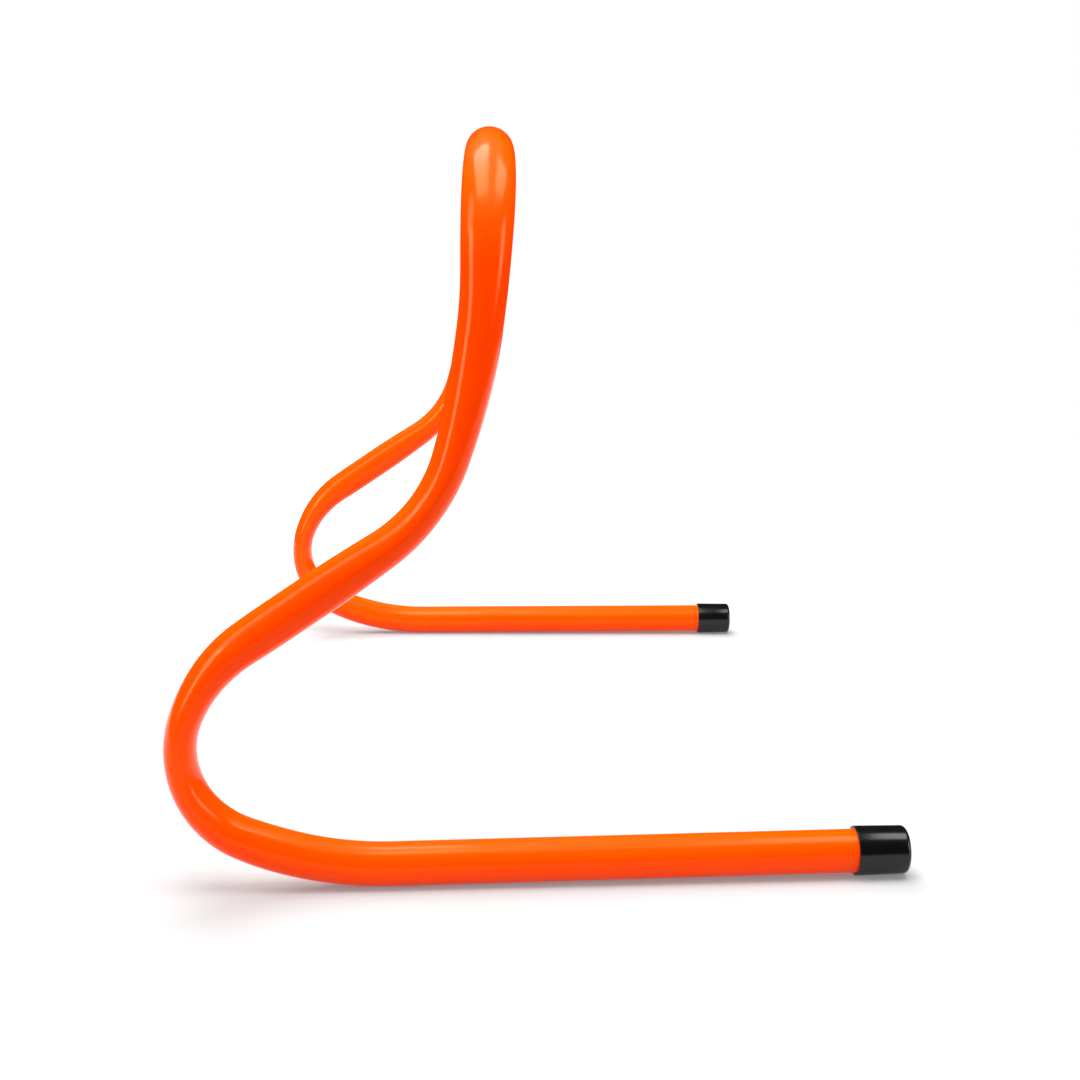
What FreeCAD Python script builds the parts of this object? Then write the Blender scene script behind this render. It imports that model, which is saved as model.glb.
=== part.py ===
import FreeCAD, Part
import math
import os

# Speed hurdle: one plastic tube bent into an arch on two feet, with a push-on cap over each foot end.
# Lengths are in mm and angles in degrees. X runs along the crossbar, the feet point to -Y and Z is up.
# The hurdle stands on Z = 0, with the origin at the middle of its footprint.

# Tube stock
tube_diameter = 18.0
tube_wall = 2.0

# Course of the tube, from the cut end of a foot up to the crossbar. A rise is an angle above the floor.
foot_length = 211.0
sole_radius = 147.0      # slow bend that lifts the tube off the floor
sole_turn = 24.0
heel_radius = 39.5       # tight bend back over the foot
heel_top_rise = 70.0
calf_radius = 63.0       # slower end of the same turn
slant_rise = 34.0
slant_length = 65.5
knee_radius = 70.0
knee_top_rise = 72.3
lean_radius = 287.0      # slow bend that brings the leg nearly upright
upright_rise = 87.3
corner_radius = 47.5
leg_spacing = 450.0      # between the centre lines of the two uprights
toe_in = 1.55            # turn of a whole leg about the vertical that brings its foot inward

# Share of its diameter that the tube loses where it is flattest in each tight bend
heel_flat_share = 0.28
knee_flat_share = 0.185
corner_flat_share = 0.205

# Share of the way through each bend where the tube is flattest
heel_peak_share = 0.8
knee_peak_share = 0.6
corner_peak_share = 0.42

# Share of each neighbouring run over which the flattening fades out
sole_fade_share = 0.29
slant_heel_fade_share = 0.2
slant_knee_fade_share = 0.49
lean_knee_fade_share = 0.67
lean_corner_fade_share = 0.31
crossbar_fade_share = 0.075

sections_per_bend = 17

# Push-on cap
cap_length = 22.0
cap_wall = 1.2
cap_end_thickness = 2.0
cap_edge_radius = 2.0
cap_mouth_chamfer = 0.5
cap_fit = 0.05           # radial, between the cap's bore and the tube
cap_seat_gap = 0.1       # between the tube's cut end and the floor of the cap

# Sizes that follow from those above
tube_radius = tube_diameter / 2
cap_bore_radius = tube_radius + cap_fit
cap_radius = cap_bore_radius + cap_wall
cap_bore_depth = cap_length - cap_end_thickness
cap_grip = cap_bore_depth - cap_seat_gap
foot_tilt = math.degrees(math.asin((cap_radius - tube_radius) / (foot_length - cap_grip)))

up = FreeCAD.Vector(0, 0, 1)
along_crossbar = FreeCAD.Vector(1, 0, 0)
foot_forward = FreeCAD.Rotation(up, toe_in).multVec(FreeCAD.Vector(0, -1, 0))


def leg_heading(rise):
    return foot_forward * math.cos(math.radians(rise)) + up * math.sin(math.radians(rise))


class Course:
    # The tube's centre line, walked as a chain of straight runs and bends

    def __init__(self, heading):
        self.runs = []
        self.length = 0
        self.end = FreeCAD.Vector(0, 0, 0)
        self.heading = heading

    def add(self, name, length, axis, radius):
        self.runs.append((name, self.length, self.end, self.heading, axis, radius))
        self.length += length
        self.end, self.heading = self.at(self.length)

    def straight(self, name, length):
        self.add(name, length, None, 0)

    def bend(self, name, radius, heading):
        turn = self.heading.getAngle(heading)
        self.add(name, radius * turn, self.heading.cross(heading).normalize(), radius)

    def at(self, distance):
        # Point and heading at a distance from the start
        run = [run for run in self.runs if run[1] <= distance][-1]
        name, start, point, heading, axis, radius = run
        if axis is None:
            return point + heading * (distance - start), heading
        turn = FreeCAD.Rotation(axis, math.degrees((distance - start) / radius))
        to_centre = axis.cross(heading) * radius
        return point + to_centre - turn.multVec(to_centre), turn.multVec(heading)

    def station(self, name, share):
        # Distance from the start to a share of the way through the named run
        index = [run[0] for run in self.runs].index(name)
        start = self.runs[index][1]
        later = self.runs[index + 1:]
        end = later[0][1] if later else self.length
        return start + (end - start) * share

    def bend_axis(self, name):
        return [run[4] for run in self.runs if run[0] == name][0]


def left_course():
    course = Course(leg_heading(180 + foot_tilt))
    course.straight("foot", foot_length)
    course.bend("sole", sole_radius, leg_heading(180 + foot_tilt - sole_turn))
    course.bend("heel", heel_radius, leg_heading(heel_top_rise))
    course.bend("calf", calf_radius, leg_heading(slant_rise))
    course.straight("slant", slant_length)
    course.bend("knee", knee_radius, leg_heading(knee_top_rise))
    course.bend("lean", lean_radius, leg_heading(upright_rise))
    upright_x = course.end.x
    course.bend("corner", corner_radius, along_crossbar)
    course.straight("crossbar", leg_spacing / 2 - (course.end.x - upright_x))
    return course


def oval(course, distance, wide_direction, flat_share, inset):
    # Section of the tube, flattened to an ellipse whose edge keeps about the length of the round tube's
    point, heading = course.at(distance)
    narrow = tube_radius * (1 - flat_share)
    wide = math.sqrt(2 * tube_radius ** 2 - narrow ** 2)
    wide_axis = (wide_direction - heading * wide_direction.dot(heading)).normalize()
    narrow_axis = heading.cross(wide_axis)
    if flat_share == 0:
        edge = Part.Circle(point, heading, tube_radius - inset)
        edge.XAxis = wide_axis
    else:
        wide_point = point + wide_axis * (wide - inset)
        narrow_point = point + narrow_axis * (narrow - inset)
        edge = Part.Ellipse(wide_point, narrow_point, point)
    return Part.Wire(edge.toShape())


def fade(distance, start, peak, end):
    # 1 at the peak, falling smoothly to 0 at the start and at the end. Rounding makes the ends exactly 0.
    reach = peak - start if distance < peak else end - peak
    away = min(abs(distance - peak) / reach, 1)
    return round(math.cos(away * math.pi / 2) ** 2, 9)


def bent_run(course, first, flat_start, flat_end, bend, peak_share, flat_share):
    # Hollow run from the first station to flat_end, flattest at a share of the way through the named bend
    axis = course.bend_axis(bend)
    peak = course.station(bend, peak_share)
    step = (flat_end - first) / (sections_per_bend - 1)
    outer_sections = []
    inner_sections = []
    for index in range(sections_per_bend):
        distance = first + step * index
        flat = flat_share * fade(distance, flat_start, peak, flat_end)
        outer_sections.append(oval(course, distance, axis, flat, 0))
        inner_sections.append(oval(course, distance, axis, flat, tube_wall))
    return Part.makeLoft(outer_sections, True).cut(Part.makeLoft(inner_sections, True))


def straight_run(course, first, last):
    point, heading = course.at(first)
    outer = Part.makeCylinder(tube_radius, last - first, point, heading)
    inner = Part.makeCylinder(tube_radius - tube_wall, last - first, point, heading)
    return outer.cut(inner)


def half_tube(course):
    sole_start = course.station("sole", 0)
    heel_fade_start = course.station("sole", 1 - sole_fade_share)
    heel_fade_end = course.station("slant", slant_heel_fade_share)
    knee_fade_start = course.station("slant", 1 - slant_knee_fade_share)
    knee_fade_end = course.station("lean", lean_knee_fade_share)
    corner_fade_start = course.station("lean", 1 - lean_corner_fade_share)
    corner_fade_end = course.station("crossbar", crossbar_fade_share)
    heel = bent_run(
        course, sole_start, heel_fade_start, heel_fade_end,
        "heel", heel_peak_share, heel_flat_share,
    )
    knee = bent_run(
        course, knee_fade_start, knee_fade_start, knee_fade_end,
        "knee", knee_peak_share, knee_flat_share,
    )
    corner = bent_run(
        course, knee_fade_end, corner_fade_start, corner_fade_end,
        "corner", corner_peak_share, corner_flat_share,
    )
    runs = [
        straight_run(course, 0, sole_start),
        heel,
        straight_run(course, heel_fade_end, knee_fade_start),
        knee,
        corner,
        straight_run(course, corner_fade_end, course.length),
    ]
    return runs[0].multiFuse(runs[1:])


def end_cap(course):
    # Cup turned about Z with its mouth at Z = 0, then set over the cut end of the foot
    edge_centre_radius = cap_radius - cap_edge_radius
    edge_centre_z = cap_length - cap_edge_radius
    edge_reach = cap_edge_radius * math.sqrt(0.5)
    outer_low = FreeCAD.Vector(cap_radius, 0, 0)
    outer_high = FreeCAD.Vector(cap_radius, 0, edge_centre_z)
    edge_middle = FreeCAD.Vector(edge_centre_radius + edge_reach, 0, edge_centre_z + edge_reach)
    end_rim = FreeCAD.Vector(edge_centre_radius, 0, cap_length)
    end_centre = FreeCAD.Vector(0, 0, cap_length)
    floor_centre = FreeCAD.Vector(0, 0, cap_bore_depth)
    floor_rim = FreeCAD.Vector(cap_bore_radius, 0, cap_bore_depth)
    bore_low = FreeCAD.Vector(cap_bore_radius, 0, cap_mouth_chamfer)
    mouth = FreeCAD.Vector(cap_bore_radius + cap_mouth_chamfer, 0, 0)
    outline = [
        Part.LineSegment(outer_low, outer_high).toShape(),
        Part.Arc(outer_high, edge_middle, end_rim).toShape(),
        Part.makePolygon([end_rim, end_centre, floor_centre, floor_rim, bore_low, mouth, outer_low]),
    ]
    edges = [edge for piece in outline for edge in piece.Edges]
    cup = Part.Face(Part.Wire(edges)).revolve(FreeCAD.Vector(0, 0, 0), up, 360)
    mouth_point, inward = course.at(cap_grip)
    cup.Placement = FreeCAD.Placement(mouth_point, FreeCAD.Rotation(up, inward * -1))
    return cup


def mirrored(shape):
    return shape.mirror(FreeCAD.Vector(0, 0, 0), along_crossbar)


left_leg = left_course()
sole_point, sole_heading = left_leg.at(left_leg.station("sole", 0))
sole_centre = sole_point + left_leg.bend_axis("sole").cross(sole_heading) * sole_radius
floor_height = sole_centre.z - sole_radius - tube_radius
onto_floor = FreeCAD.Vector(-left_leg.end.x, 0, -floor_height)

left_half = half_tube(left_leg)
left_cap = end_cap(left_leg)
left_half.translate(onto_floor)
left_cap.translate(onto_floor)

footprint = Part.makeCompound([left_half, left_cap]).optimalBoundingBox(False, False)
to_middle = FreeCAD.Vector(0, -footprint.Center.y, 0)
left_half.translate(to_middle)
left_cap.translate(to_middle)

shapes = {
    "bent_tube": left_half.fuse(mirrored(left_half)).removeSplitter().Solids[0],
    "left_end_cap": left_cap,
    "right_end_cap": mirrored(left_cap),
}

os.makedirs("parts", exist_ok=True)
for name, shape in shapes.items():
    shape.exportStep("parts/" + name + ".step")
    box = shape.optimalBoundingBox(False, False)
    state = "valid" if shape.isValid() else "NOT VALID"
    print(name, shape.ShapeType, state, "volume", round(shape.Volume, 1))
    print("  size", round(box.XLength, 2), round(box.YLength, 2), round(box.ZLength, 2))
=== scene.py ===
import bpy
import bmesh
import math
from mathutils import Euler, Matrix, Vector


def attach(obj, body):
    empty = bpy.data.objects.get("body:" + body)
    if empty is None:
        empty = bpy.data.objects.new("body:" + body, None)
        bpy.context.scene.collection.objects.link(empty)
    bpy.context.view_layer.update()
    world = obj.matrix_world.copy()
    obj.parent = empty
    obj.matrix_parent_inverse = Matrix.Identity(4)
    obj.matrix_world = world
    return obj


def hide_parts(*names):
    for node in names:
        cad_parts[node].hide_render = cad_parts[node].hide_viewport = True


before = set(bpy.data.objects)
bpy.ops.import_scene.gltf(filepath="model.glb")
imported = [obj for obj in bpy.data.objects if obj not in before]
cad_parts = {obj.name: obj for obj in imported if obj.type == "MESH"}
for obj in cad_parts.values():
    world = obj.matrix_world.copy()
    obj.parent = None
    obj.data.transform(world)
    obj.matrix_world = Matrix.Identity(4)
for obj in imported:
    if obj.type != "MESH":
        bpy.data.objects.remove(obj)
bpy.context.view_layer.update()  # the imported hurdle's mesh parts, unparented in place
mm = 0.001
print("frame loaded:", sorted(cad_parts))


def linearColour(hexColour):  # sRGB hex to the linear values that the shaders take
    channels = [int(hexColour[i:i + 2], 16) / 255 for i in (1, 3, 5)]
    return [c / 12.92 if c <= 0.04045 else ((c + 0.055) / 1.055) ** 2.4 for c in channels] + [1.0]


def addNode(tree, kind, settings, links=None):  # one node with its settings and what feeds it
    node = tree.nodes.new(kind)
    for name, value in settings.items():
        if isinstance(name, int) or name in node.inputs:
            node.inputs[name].default_value = value
        else:
            setattr(node, name, value)
    for name, socket in (links or {}).items():
        tree.links.new(socket, node.inputs[name])
    return node


def startMaterial(name):
    material = bpy.data.materials.new(name)
    material.use_nodes = True
    material.node_tree.nodes.clear()
    return material, material.node_tree


def deselectAll():
    bpy.ops.object.select_all(action="DESELECT")


def applyModifier(piece, kind, settings):
    modifier = piece.modifiers.new(kind.lower(), kind)
    for name, value in settings.items():
        setattr(modifier, name, value)
    bpy.ops.object.modifier_apply(modifier=modifier.name)


# camera where the photograph was taken from: low, close, looking along the crossbar

photoCamera = {  # mm and degrees
    "at": (-818.6, 30.39, 243.99), "yaw": 2.72, "pitch": 9.707, "roll": 0.334, "lens": 50.9, "sensor": 36,
}

cameraData = bpy.data.cameras.new("photo_camera")
cameraData.lens = photoCamera["lens"]
cameraData.sensor_width = photoCamera["sensor"]
camera = bpy.data.objects.new("photo_camera", cameraData)
bpy.context.scene.collection.objects.link(camera)
camera.location = Vector(photoCamera["at"]) * mm
tilt = math.radians(90 - photoCamera["pitch"])
turn = math.radians(-90 - photoCamera["yaw"])
roll = Matrix.Rotation(math.radians(photoCamera["roll"]), 3, "Z")
camera.rotation_euler = (Euler((tilt, 0, turn)).to_matrix() @ roll).to_euler()
bpy.context.scene.camera = camera
print("camera set")


# the bent tube: half of it is pulled from the middle of the crossbar down to the cut end of the left foot

hurdleTube = {  # mm and degrees, a rise is an angle above the floor
    "radius": 9.0, "wall": 2.0, "around": 72, "cutEdge": 0.35, "cutEdgeSteps": 2,
    "crossbarAt": (0.0, 21.4765, 296.2041), "uprightX": -225.0, "toeIn": 1.55,
    "cornerRadius": 47.5, "uprightRise": 87.3, "leanRadius": 287.0, "kneeTopRise": 72.3,
    "kneeRadius": 70.0, "slantRise": 34.0, "slantLength": 65.5, "calfRadius": 63.0, "heelTopRise": 70.0,
    "heelRadius": 39.5, "soleTurn": 24.0, "soleRadius": 147.0, "footTilt": 0.37478, "footLength": 211.0,
    "joinWithin": 0.001,  # how near the two halves lie where they are joined
    "cutAngle": 60,  # edges sharper than this are rounded
    "smoothAngle": 40,  # edges sharper than this stay crisp
}

# diameter lost, where it is flattest, and the runs in which that fades out, as shares from a run's foot end
flatBends = [
    {"bend": "corner", "lost": 0.205, "flattest": 0.42, "from": ("lean", 0.69), "to": ("crossbar", 0.075)},
    {"bend": "knee", "lost": 0.185, "flattest": 0.6, "from": ("slant", 0.51), "to": ("lean", 0.67)},
    {"bend": "heel", "lost": 0.28, "flattest": 0.8, "from": ("sole", 0.71), "to": ("slant", 0.2)},
]

alongCrossbar = Vector((-1, 0, 0))


def downLeg(rise):  # heading down the left leg where the tube has this rise
    turn = math.radians(hurdleTube["toeIn"])
    forward = Vector((math.sin(turn), -math.cos(turn), 0))
    return -forward * math.cos(math.radians(rise)) - Vector((0, 0, math.sin(math.radians(rise))))


def tubeRuns():  # each run's name, length in mm, bend radius, heading at its end and rings
    t = hurdleTube
    heading = alongCrossbar
    upright = downLeg(t["uprightRise"])
    reach = t["cornerRadius"] * math.tan(heading.angle(upright) / 2) * (heading + upright).x
    runs = [["crossbar", reach - t["uprightX"], 0, heading, 24]]
    bends = [  # name, bend radius, heading at its end, rings
        ("corner", t["cornerRadius"], upright, 44),
        ("lean", t["leanRadius"], downLeg(t["kneeTopRise"]), 24),
        ("knee", t["kneeRadius"], downLeg(t["slantRise"]), 24),
        ("slant", 0, downLeg(t["slantRise"]), 20),
        ("calf", t["calfRadius"], downLeg(t["heelTopRise"]), 20),
        ("heel", t["heelRadius"], downLeg(180 + t["footTilt"] - t["soleTurn"]), 40),
        ("sole", t["soleRadius"], downLeg(180 + t["footTilt"]), 24),
        ("foot", 0, downLeg(180 + t["footTilt"]), 24),
    ]
    for name, radius, newHeading, rings in bends:
        length = t.get(name + "Length", radius * heading.angle(newHeading, 0))
        runs.append([name, length, radius, newHeading, rings])
        heading = newHeading
    return runs


def markRuns(runs):  # each run's start from the crossbar's middle, its bend axis and where it is flat
    marks = {}
    start, heading = 0, alongCrossbar
    for name, length, radius, newHeading, rings in runs:
        marks[name] = {"start": start, "length": length, "axis": heading.cross(newHeading)}
        start += length
        heading = newHeading
    for flat in flatBends:
        places = [flat["to"], (flat["bend"], flat["flattest"]), flat["from"]]
        marks[flat["bend"]]["flat"] = [
            marks[name]["start"] + marks[name]["length"] * (1 - share) for name, share in places]
    return marks


def flatAt(distance, marks):  # share of the diameter lost here, and in which bend
    for flat in flatBends:
        start, peak, end = marks[flat["bend"]]["flat"]
        if start < distance < end:
            away = (peak - distance) / (peak - start) if distance < peak else (distance - peak) / (end - peak)
            return flat["lost"] * math.cos(away * math.pi / 2) ** 2, flat["bend"]
    return 0, None


def squeezeRing(point, heading, bendAxis, widen, narrow):  # makes the newest ring oval about the bend's axis
    wideAxis = (bendAxis - heading * bendAxis.dot(heading)).normalized()
    turnTo = Matrix((wideAxis, heading.cross(wideAxis), heading)).transposed()
    bpy.ops.transform.resize(
        value=(widen, narrow, 1), orient_type="GLOBAL", orient_matrix=turnTo, orient_matrix_type="GLOBAL",
        center_override=point)


def makeTube():
    t = hurdleTube
    runs = tubeRuns()
    marks = markRuns(runs)
    point = Vector(t["crossbarAt"]) * mm
    deselectAll()
    bpy.ops.mesh.primitive_circle_add(
        vertices=t["around"], radius=t["radius"] * mm, location=point, rotation=(0, math.radians(-90), 0))
    tube = bpy.context.object
    tube.name = "orange_tube"
    bpy.ops.object.transform_apply(location=True, rotation=True, scale=True)
    bpy.ops.object.mode_set(mode="EDIT")
    bpy.ops.mesh.select_all(action="SELECT")
    mesh = bmesh.from_edit_mesh(tube.data)
    stock = mesh.verts.layers.float_vector.new("stock")  # each point's place on the tube before bending
    mesh.verts.layers.float.new("squeezed")  # share of the diameter that the bend has cost there
    for vert in mesh.verts:
        vert[stock] = (vert.co.y - point.y, vert.co.z - point.z, 0)

    heading = alongCrossbar
    oldWide, oldNarrow, lastBend = 1, 1, None
    for name, length, radius, newHeading, rings in runs:
        axis = marks[name]["axis"].normalized()
        for ring in range(1, rings + 1):
            if radius:
                turn = length / radius / rings
                centre = point + axis.cross(heading) * radius * mm
                # spin turns the other way round
                bpy.ops.mesh.spin(steps=1, angle=-turn, center=centre, axis=axis)
                step = Matrix.Rotation(turn, 3, axis)
                point = centre + step @ (point - centre)
                heading = step @ heading
            else:
                step = heading * (length / rings) * mm
                bpy.ops.mesh.extrude_region_move(TRANSFORM_OT_translate={"value": step})
                point = point + step
            distance = marks[name]["start"] + length * ring / rings
            lost, bend = flatAt(distance, marks)
            narrow = 1 - lost
            wide = math.sqrt(2 - narrow ** 2)
            if bend or oldNarrow != 1:  # also the first round ring after a flat run
                lastBend = bend or lastBend
                squeezeRing(point, heading, marks[lastBend]["axis"], wide / oldWide, narrow / oldNarrow)
            oldWide, oldNarrow = wide, narrow
            mesh = bmesh.from_edit_mesh(tube.data)
            stock = mesh.verts.layers.float_vector["stock"]
            squeezed = mesh.verts.layers.float["squeezed"]
            for vert in mesh.verts:
                if vert.select:
                    vert[stock].z = distance * mm
                    vert[squeezed] = lost
    bpy.ops.object.mode_set(mode="OBJECT")
    applyModifier(tube, "MIRROR", {"merge_threshold": t["joinWithin"] * mm})
    for vert, place in zip(tube.data.vertices, tube.data.attributes["stock"].data):
        if vert.co.x > 0:  # the right half goes on counting past the crossbar's middle
            place.vector.z = -place.vector.z
    bpy.ops.object.mode_set(mode="EDIT")
    bpy.ops.mesh.select_all(action="SELECT")
    bpy.ops.mesh.normals_make_consistent(inside=False)
    bpy.ops.object.mode_set(mode="OBJECT")
    applyModifier(tube, "SOLIDIFY", {"thickness": t["wall"] * mm, "offset": -1, "use_even_offset": True})
    applyModifier(tube, "BEVEL", {
        "width": t["cutEdge"] * mm, "segments": t["cutEdgeSteps"],
        "limit_method": "ANGLE", "angle_limit": math.radians(t["cutAngle"])})
    bpy.ops.object.shade_smooth_by_angle(angle=math.radians(t["smoothAngle"]))
    return tube, point, heading


tube, cutEnd, outward = makeTube()
print("tube pulled:", len(tube.data.polygons), "faces, left foot ends at", [round(c / mm, 3) for c in cutEnd])


# push-on cap, modelled standing on its mouth and then set over each foot

footCap = {  # mm and degrees, the outside tapers from the mouth to the end so that the cap leaves its mould
    "radius": 10.25, "endRadius": 9.95, "wall": 1.2, "length": 22.0, "boreDepth": 20.0, "grip": 19.9,
    "endRound": 2.0, "endSteps": 10, "mouthOuter": 0.3, "mouthOuterSteps": 3,
    "mouthInner": 0.5, "mouthInnerSteps": 1, "floorRound": 0.6, "floorSteps": 4,
    "gateRadius": 2.2, "gateDepth": 0.35, "gateSlope": 0.3,
    "nubRadius": 0.9, "nubHeight": 0.2, "nubSlope": 0.15,
    "around": 72, "smoothAngle": 35, "squareOn": 0.9,  # share of its normal along the axis in a flat face
    "heightWithin": 0.01, "radiusWithin": 0.03,  # how near an edge lies to the ring that it is part of
}


def selectOnly(piece, part, wanted):  # selects the faces or edges that the test wants
    bpy.ops.mesh.select_mode(type="FACE" if part == "faces" else "EDGE")
    bpy.ops.mesh.select_all(action="DESELECT")
    mesh = bmesh.from_edit_mesh(piece.data)
    mesh.normal_update()
    for element in getattr(mesh, part):
        if wanted(element):
            element.select_set(True)
    bmesh.update_edit_mesh(piece.data)


def onRing(radius, height):  # test for edges that run round the cap at this radius and height, in mm
    def near(vert):
        return (abs(vert.co.z - height * mm) < footCap["heightWithin"] * mm
                and abs(vert.co.xy.length - radius * mm) < footCap["radiusWithin"] * mm)

    return lambda edge: all(near(vert) for vert in edge.verts)


def isMouth(face):
    return face.normal.z < -footCap["squareOn"]


def isEnd(face):  # the flat of the end, one face with as many corners as the cap has steps around
    high = face.calc_center_median().z > (footCap["length"] - footCap["heightWithin"]) * mm
    return high and face.normal.z > footCap["squareOn"] and len(face.verts) >= footCap["around"]


def makeCap():
    c = footCap
    deselectAll()
    bpy.ops.mesh.primitive_cone_add(
        vertices=c["around"], radius1=c["radius"] * mm, radius2=c["endRadius"] * mm, depth=c["length"] * mm,
        location=(0, 0, c["length"] / 2 * mm))
    cap = bpy.context.object
    bpy.ops.object.transform_apply(location=True, rotation=True, scale=True)
    bpy.ops.object.mode_set(mode="EDIT")
    selectOnly(cap, "faces", isMouth)
    bpy.ops.mesh.inset(thickness=c["wall"] * mm)
    bpy.ops.mesh.extrude_region_move(TRANSFORM_OT_translate={"value": (0, 0, c["boreDepth"] * mm)})
    boreRadius = c["radius"] - c["wall"]
    for radius, height, width, steps in (
            (c["endRadius"], c["length"], c["endRound"], c["endSteps"]),
            (c["radius"], 0, c["mouthOuter"], c["mouthOuterSteps"]),
            (boreRadius, 0, c["mouthInner"], c["mouthInnerSteps"]),
            (boreRadius, c["boreDepth"], c["floorRound"], c["floorSteps"])):
        selectOnly(cap, "edges", onRing(radius, height))
        bpy.ops.mesh.bevel(offset=width * mm, segments=steps, profile=0.5, affect="EDGES")
    selectOnly(cap, "faces", isEnd)  # the moulding gate left a dimple with a nub in it
    bpy.ops.mesh.inset(thickness=(c["endRadius"] - c["endRound"] - c["gateRadius"]) * mm)
    bpy.ops.mesh.inset(thickness=c["gateSlope"] * mm, depth=-c["gateDepth"] * mm)
    bpy.ops.mesh.inset(thickness=(c["gateRadius"] - c["gateSlope"] - c["nubRadius"]) * mm)
    bpy.ops.mesh.inset(thickness=c["nubSlope"] * mm, depth=c["nubHeight"] * mm)
    bpy.ops.mesh.select_all(action="SELECT")
    bpy.ops.mesh.normals_make_consistent(inside=False)
    bpy.ops.object.mode_set(mode="OBJECT")
    moulded = cap.data.attributes.new("moulded", "FLOAT_VECTOR", "POINT")  # the cap's own axes, mouth at 0
    for vert, place in zip(cap.data.vertices, moulded.data):
        place.vector = vert.co
    bpy.ops.object.shade_smooth_by_angle(angle=math.radians(c["smoothAngle"]))
    return cap


def setCap(cap, name, mouth, direction):
    cap.name = name
    cap.data.name = name
    deselectAll()
    bpy.context.view_layer.objects.active = cap
    cap.select_set(True)
    cap.location = mouth
    cap.rotation_euler = direction.to_track_quat("Z", "Y").to_euler()
    bpy.ops.object.transform_apply(location=True, rotation=True, scale=True)


leftCap = makeCap()
rightCap = leftCap.copy()
rightCap.data = leftCap.data.copy()
bpy.context.scene.collection.objects.link(rightCap)
mouth = cutEnd - outward * footCap["grip"] * mm
across = Vector((-1, 1, 1))  # to the other side of the hurdle
setCap(leftCap, "left_cap_moulded", mouth, outward)
setCap(rightCap, "right_cap_moulded", mouth * across, outward * across)
print("caps set:", len(leftCap.data.polygons), "faces each")


# extruded PVC, pigmented right through: bright and evenly glossy, with fine lines from the die and slow
# streaks of pigment along the tube, a duller and paler skin where a bend has stretched it, and rubbed soles

orangePvc = {  # sizes in mm, those in pairs are across and along the tube; a fade is the two ends of a blend
    "colour": "#FF4A00", "streakColour": "#FC4200", "stretchedColour": "#FF5208", "rubbedColour": "#F06A40",
    "paintedGlowRed": "#FF2700", "paintedGlow": 0.25,  # a painted red glow: the tube gives off red light of its own, lit by no lamp, which keeps its shaded sides red; it stands in for the fluorescent pigment
    "shineTint": "#FFDC86", "shine": 0.26, "ior": 1.53, "gloss": 0.13,
    "dieLine": (0.8, 60), "dieLineDepth": 0.003,  # real lines are about 0.1 mm apart, too fine to show
    "ripple": (14, 40), "rippleDepth": 0.007, "patch": 16, "patchDulling": 0.08,
    "streak": (6, 250), "streakFade": (0.35, 0.7),
    "stretchedFade": (0.08, 0.28), "stretchedMost": 0.5, "stretchedDulling": 0.03,  # by the diameter lost
    "rubbedBelow": 2.2, "rubbedThrough": 0.3, "rub": 3, "rubFade": (0.35, 0.65), "rubbedDulling": 0.3,
    "scuff": (0.9, 12), "scuffFade": (0.68, 0.76), "scuffDulling": 0.12,
}


def perMm(across, along):  # pattern scale on the tube from a width and a length in mm
    return (1 / (across * mm), 1 / (across * mm), 1 / (along * mm))


look = orangePvc
pvc, tree = startMaterial("extruded_pvc_orange")
stock = addNode(tree, "ShaderNodeAttribute", {"attribute_name": "stock"}).outputs["Vector"]
squeezed = addNode(tree, "ShaderNodeAttribute", {"attribute_name": "squeezed"}).outputs["Fac"]
spot = addNode(tree, "ShaderNodeTexCoord", {}).outputs["Object"]
alongTube = {}  # the straight tube's coordinates, scaled for each pattern that runs along it
for pattern in ("streak", "scuff", "ripple", "dieLine"):
    scaling = {"operation": "MULTIPLY", 1: perMm(*look[pattern])}
    alongTube[pattern] = addNode(tree, "ShaderNodeVectorMath", scaling, {0: stock}).outputs[0]

streaks = addNode(tree, "ShaderNodeTexNoise", {"Scale": 1, "Detail": 3}, {"Vector": alongTube["streak"]})
streakShare = addNode(
    tree, "ShaderNodeMapRange", {"From Min": look["streakFade"][0], "From Max": look["streakFade"][1]},
    {"Value": streaks.outputs[0]})
stretched = addNode(tree, "ShaderNodeMapRange", {
    "From Min": look["stretchedFade"][0], "From Max": look["stretchedFade"][1],
    "To Max": look["stretchedMost"],
}, {"Value": squeezed})

height = addNode(tree, "ShaderNodeSeparateXYZ", {}, {0: spot}).outputs["Z"]
low = addNode(tree, "ShaderNodeMapRange", {
    "interpolation_type": "SMOOTHSTEP",
    "From Min": look["rubbedBelow"] * mm, "From Max": look["rubbedThrough"] * mm}, {"Value": height})
rubs = addNode(
    tree, "ShaderNodeTexNoise", {"Scale": 1 / (look["rub"] * mm), "Detail": 4, "Roughness": 0.7},
    {"Vector": spot})
rubShare = addNode(
    tree, "ShaderNodeMapRange", {"From Min": look["rubFade"][0], "From Max": look["rubFade"][1]},
    {"Value": rubs.outputs[0]})
rubbed = addNode(
    tree, "ShaderNodeMath", {"operation": "MULTIPLY"}, {0: low.outputs[0], 1: rubShare.outputs[0]})

colour = addNode(tree, "ShaderNodeMix", {
    "data_type": "RGBA", 6: linearColour(look["colour"]), 7: linearColour(look["streakColour"]),
}, {0: streakShare.outputs[0]})
for share, newColour in ((stretched, "stretchedColour"), (rubbed, "rubbedColour")):
    colour = addNode(tree, "ShaderNodeMix", {"data_type": "RGBA", 7: linearColour(look[newColour])},
                     {0: share.outputs[0], 6: colour.outputs[2]})

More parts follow.
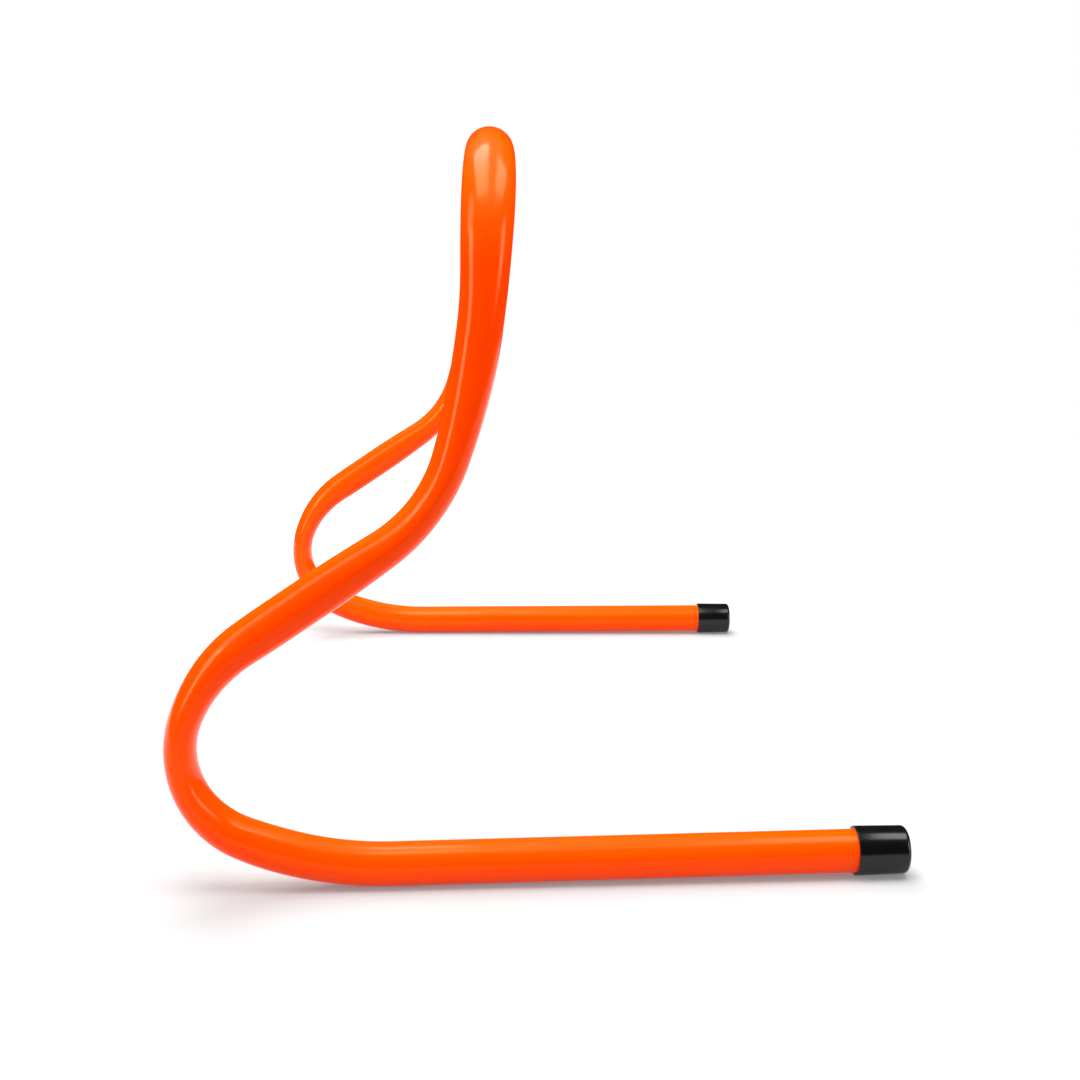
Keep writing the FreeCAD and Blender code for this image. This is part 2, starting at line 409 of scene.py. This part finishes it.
patches = addNode(
    tree, "ShaderNodeTexNoise", {"Scale": 1 / (look["patch"] * mm), "Detail": 3}, {"Vector": spot})
rough = addNode(
    tree, "ShaderNodeMath", {"operation": "MULTIPLY_ADD", 1: look["patchDulling"], 2: look["gloss"]},
    {0: patches.outputs[0]})
scuffs = addNode(tree, "ShaderNodeTexNoise", {"Scale": 1, "Detail": 1}, {"Vector": alongTube["scuff"]})
scuffShare = addNode(
    tree, "ShaderNodeMapRange", {"From Min": look["scuffFade"][0], "From Max": look["scuffFade"][1]},
    {"Value": scuffs.outputs[0]})
for share, dulling in (
        (scuffShare, "scuffDulling"), (stretched, "stretchedDulling"), (rubbed, "rubbedDulling")):
    rough = addNode(tree, "ShaderNodeMath", {"operation": "MULTIPLY_ADD", 1: look[dulling]},
                    {0: share.outputs[0], 2: rough.outputs[0]})

ripples = addNode(tree, "ShaderNodeTexNoise", {"Scale": 1, "Detail": 0}, {"Vector": alongTube["ripple"]})
dieLines = addNode(tree, "ShaderNodeTexNoise", {"Scale": 1, "Detail": 2}, {"Vector": alongTube["dieLine"]})
bump = addNode(
    tree, "ShaderNodeBump", {"Distance": look["rippleDepth"] * mm}, {"Height": ripples.outputs[0]})
bump = addNode(tree, "ShaderNodeBump", {"Distance": look["dieLineDepth"] * mm},
               {"Height": dieLines.outputs[0], "Normal": bump.outputs[0]})

# the emission is the painted red glow, which lifts the red of the shaded sides without any lamp
shader = addNode(tree, "ShaderNodeBsdfPrincipled", {
    "IOR": look["ior"], "Specular IOR Level": look["shine"], "Specular Tint": linearColour(look["shineTint"]),
    "Emission Color": linearColour(look["paintedGlowRed"]), "Emission Strength": look["paintedGlow"],
}, {"Base Color": colour.outputs[2], "Roughness": rough.outputs[0], "Normal": bump.outputs[0]})
addNode(tree, "ShaderNodeOutputMaterial", {}, {"Surface": shader.outputs[0]})
print("orange PVC mixed")


# black vinyl, moulded: a deep black skin with a soft gloss and a slight orange peel, greyer where the mouth
# and the round of the end are handled, and dull with floor dust underneath

blackVinyl = {  # sizes in mm; a fade is the two ends of a blend
    "colour": "#070708", "cloudColour": "#0E0E10", "wornColour": "#242427", "dustColour": "#4A4743",
    "shine": 0.36, "ior": 1.53, "gloss": 0.15, "peel": 1.8, "peelDepth": 0.012,
    "grain": 0.5, "grainDepth": 0.002,  # the mould's own grain is about 0.05 mm, too fine to show
    "cloud": 6, "cloudDulling": 0.1, "handling": 2.5, "handledFade": (0.38, 0.7), "wornDulling": 0.15,
    "endWear": (0.83, 0.58),  # how far in from the end's corner wear starts and is full, in end rounds
    "mouthWear": (0.6, 0.15),  # the same from the rim of the mouth, in mm
    "rubbedBelow": 1.0, "rubbedThrough": 0.1, "dustDulling": 0.35,
}

look = blackVinyl
vinyl, tree = startMaterial("moulded_vinyl_black")
moulded = addNode(tree, "ShaderNodeAttribute", {"attribute_name": "moulded"}).outputs["Vector"]
spot = addNode(tree, "ShaderNodeTexCoord", {}).outputs["Object"]
along = addNode(tree, "ShaderNodeSeparateXYZ", {}, {0: moulded}).outputs["Z"]
crosswise = addNode(tree, "ShaderNodeVectorMath", {"operation": "MULTIPLY", 1: (1, 1, 0)}, {0: moulded})
fromAxis = addNode(
    tree, "ShaderNodeVectorMath", {"operation": "LENGTH"}, {0: crosswise.outputs[0]}).outputs["Value"]

# out from the axis plus along is greatest on the round of the end, out less along on the rim of the mouth
outAndAlong = addNode(tree, "ShaderNodeMath", {"operation": "ADD"}, {0: fromAxis, 1: along})
outLessAlong = addNode(tree, "ShaderNodeMath", {"operation": "SUBTRACT"}, {0: fromAxis, 1: along})
endCorner = footCap["endRadius"] + footCap["length"]
endStart, endFull = [(endCorner - share * footCap["endRound"]) * mm for share in look["endWear"]]
mouthStart, mouthFull = [(footCap["radius"] - inset) * mm for inset in look["mouthWear"]]
endRound = addNode(
    tree, "ShaderNodeMapRange", {"From Min": endStart, "From Max": endFull},
    {"Value": outAndAlong.outputs[0]})
mouthRim = addNode(
    tree, "ShaderNodeMapRange", {"From Min": mouthStart, "From Max": mouthFull},
    {"Value": outLessAlong.outputs[0]})
edges = addNode(
    tree, "ShaderNodeMath", {"operation": "MAXIMUM"}, {0: endRound.outputs[0], 1: mouthRim.outputs[0]})
handling = addNode(
    tree, "ShaderNodeTexNoise", {"Scale": 1 / (look["handling"] * mm), "Detail": 4, "Roughness": 0.65},
    {"Vector": moulded})
handled = addNode(
    tree, "ShaderNodeMapRange", {"From Min": look["handledFade"][0], "From Max": look["handledFade"][1]},
    {"Value": handling.outputs[0]})
worn = addNode(
    tree, "ShaderNodeMath", {"operation": "MULTIPLY"}, {0: edges.outputs[0], 1: handled.outputs[0]})

height = addNode(tree, "ShaderNodeSeparateXYZ", {}, {0: spot}).outputs["Z"]
low = addNode(tree, "ShaderNodeMapRange", {
    "interpolation_type": "SMOOTHSTEP",
    "From Min": look["rubbedBelow"] * mm, "From Max": look["rubbedThrough"] * mm}, {"Value": height})
dusty = addNode(
    tree, "ShaderNodeMath", {"operation": "MULTIPLY"}, {0: low.outputs[0], 1: handled.outputs[0]})

clouds = addNode(
    tree, "ShaderNodeTexNoise", {"Scale": 1 / (look["cloud"] * mm), "Detail": 3}, {"Vector": moulded})
colour = addNode(tree, "ShaderNodeMix", {
    "data_type": "RGBA", 6: linearColour(look["colour"]), 7: linearColour(look["cloudColour"]),
}, {0: clouds.outputs[0]})
rough = addNode(
    tree, "ShaderNodeMath", {"operation": "MULTIPLY_ADD", 1: look["cloudDulling"], 2: look["gloss"]},
    {0: clouds.outputs[0]})
for share, newColour, dulling in ((worn, "wornColour", "wornDulling"), (dusty, "dustColour", "dustDulling")):
    colour = addNode(tree, "ShaderNodeMix", {"data_type": "RGBA", 7: linearColour(look[newColour])},
                     {0: share.outputs[0], 6: colour.outputs[2]})
    rough = addNode(tree, "ShaderNodeMath", {"operation": "MULTIPLY_ADD", 1: look[dulling]},
                    {0: share.outputs[0], 2: rough.outputs[0]})

peel = addNode(
    tree, "ShaderNodeTexNoise", {"Scale": 1 / (look["peel"] * mm), "Detail": 1}, {"Vector": moulded})
grain = addNode(
    tree, "ShaderNodeTexNoise", {"Scale": 1 / (look["grain"] * mm), "Detail": 2}, {"Vector": moulded})
bump = addNode(tree, "ShaderNodeBump", {"Distance": look["peelDepth"] * mm}, {"Height": peel.outputs[0]})
bump = addNode(tree, "ShaderNodeBump", {"Distance": look["grainDepth"] * mm},
               {"Height": grain.outputs[0], "Normal": bump.outputs[0]})
shader = addNode(tree, "ShaderNodeBsdfPrincipled", {"IOR": look["ior"], "Specular IOR Level": look["shine"]},
                 {"Base Color": colour.outputs[2], "Roughness": rough.outputs[0], "Normal": bump.outputs[0]})
addNode(tree, "ShaderNodeOutputMaterial", {}, {"Surface": shader.outputs[0]})
print("black vinyl mixed")

for piece, body, node, slotName, material in (
        (tube, "tube", "bent_tube", "orange_pvc", pvc),
        (leftCap, "left_cap", "left_end_cap", "black_vinyl", vinyl),
        (rightCap, "right_cap", "right_end_cap", "black_vinyl", vinyl)):
    piece.data.materials.clear()
    piece.data.materials.append(material)
    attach(piece, body)
    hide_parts(node)
print("pieces ride their bodies")


# studio: a white floor disc on a white surround, dark walls out of the camera's sight, and soft lights above,
# behind and at both sides

studio = {  # metres
    "floorRadius": 1.1, "floorMiddle": (0.62, 0, 0), "floorAround": 96,  # it ends before the camera
    "floorColour": "#9C9C9C", "nearGlow": 0.19, "farGlow": 1.0,  # it fades into the white surround
    "fadeAbout": (-0.03, 0, 0), "fadeFrom": 0.38, "fadeTo": 0.7,
    "roomRadius": 2.6, "roomHeight": 2.2, "roomBelow": 0.01, "roomAround": 64, "roomColour": "#101010",
}

softLights = [  # name, watts, width, length, place, what it faces, whether the gloss shows it
    ("overhead_softbox", 17, 1.2, 0.65, (-0.18, 0.33, 1.45), (-0.18, 0.33, 0), True),
    ("front_softbox", 10, 0.8, 0.65, (-0.3, -0.7, 1.45), (-0.3, -0.7, 0), True),
    ("far_softbox", 10, 0.6, 1.0, (-0.1, -0.05, 0.95), (0.3, -0.05, 0.05), False),
    ("left_panel", 13, 0.55, 0.85, (-1.05, 1.53, 0.7), (-0.2, 0, 0.3), True),
    ("left_high_panel", 8, 0.65, 0.85, (-0.7, 1.4, 1.25), (-0.2, 0, 0.1), True),
    ("back_softbox", 24, 1.0, 0.8, (0.8, 0.25, 1.0), (-0.1, 0, 0.05), False),
    ("right_panel", 11, 0.5, 0.95, (-0.9, -1.53, 0.62), (-0.2, 0, 0.3), True),
]

scene = bpy.context.scene
scene.view_settings.view_transform = "Standard"


def seenDirectly(tree):  # 1 for the rays that show the background: to the eye, in gloss and through glass
    path = addNode(tree, "ShaderNodeLightPath", {})
    seen = addNode(tree, "ShaderNodeMath", {"operation": "MAXIMUM"},
                   {0: path.outputs["Is Camera Ray"], 1: path.outputs["Is Glossy Ray"]})
    return addNode(tree, "ShaderNodeMath", {"operation": "MAXIMUM"},
                   {0: seen.outputs[0], 1: path.outputs["Is Transmission Ray"]}).outputs[0]


deselectAll()
bpy.ops.mesh.primitive_circle_add(
    vertices=studio["floorAround"], radius=studio["floorRadius"], fill_type="NGON",
    location=studio["floorMiddle"])
bpy.ops.object.transform_apply(location=True, rotation=True, scale=True)
floor = bpy.context.object
floor.name = "studio_floor"
paper, tree = startMaterial("matt_white_paper")
spot = addNode(tree, "ShaderNodeTexCoord", {}).outputs["Object"]
away = addNode(tree, "ShaderNodeVectorMath", {"operation": "DISTANCE", 1: studio["fadeAbout"]}, {0: spot})
fading = addNode(tree, "ShaderNodeMapRange", {
    "interpolation_type": "SMOOTHSTEP", "From Min": studio["fadeFrom"], "From Max": studio["fadeTo"],
    "To Min": studio["nearGlow"], "To Max": studio["farGlow"]}, {"Value": away.outputs["Value"]})
glow = addNode(
    tree, "ShaderNodeMath", {"operation": "MULTIPLY"}, {0: seenDirectly(tree), 1: fading.outputs[0]})
matt = addNode(tree, "ShaderNodeBsdfDiffuse", {"Color": linearColour(studio["floorColour"])})
shine = addNode(tree, "ShaderNodeEmission", {"Color": (1, 1, 1, 1)}, {"Strength": glow.outputs[0]})
both = addNode(tree, "ShaderNodeAddShader", {}, {0: matt.outputs[0], 1: shine.outputs[0]})
addNode(tree, "ShaderNodeOutputMaterial", {}, {"Surface": both.outputs[0]})
floor.data.materials.append(paper)

deselectAll()
bpy.ops.mesh.primitive_cylinder_add(
    vertices=studio["roomAround"], radius=studio["roomRadius"], depth=studio["roomHeight"],
    location=(0, 0, studio["roomHeight"] / 2 - studio["roomBelow"]))
room = bpy.context.object
room.name = "dark_room"
room.visible_camera = False
paint, tree = startMaterial("matt_grey_paint")
matt = addNode(tree, "ShaderNodeBsdfDiffuse", {"Color": linearColour(studio["roomColour"])})
addNode(tree, "ShaderNodeOutputMaterial", {}, {"Surface": matt.outputs[0]})
room.data.materials.append(paint)

world = bpy.data.worlds.new("white_surround")
scene.world = world
world.use_nodes = True
world.node_tree.nodes.clear()
surround = addNode(world.node_tree, "ShaderNodeBackground", {"Color": (1, 1, 1, 1), "Strength": 1.0})
addNode(world.node_tree, "ShaderNodeOutputWorld", {}, {"Surface": surround.outputs[0]})

for name, watts, width, length, place, target, inGloss in softLights:
    lightData = bpy.data.lights.new(name, "AREA")
    lightData.shape = "RECTANGLE"
    lightData.size, lightData.size_y = width, length
    lightData.energy = watts
    light = bpy.data.objects.new(name, lightData)
    scene.collection.objects.link(light)
    light.location = place
    light.rotation_euler = (Vector(target) - Vector(place)).to_track_quat("-Z", "Y").to_euler()
    light.visible_camera = False
    light.visible_glossy = inGloss
print("studio lit")
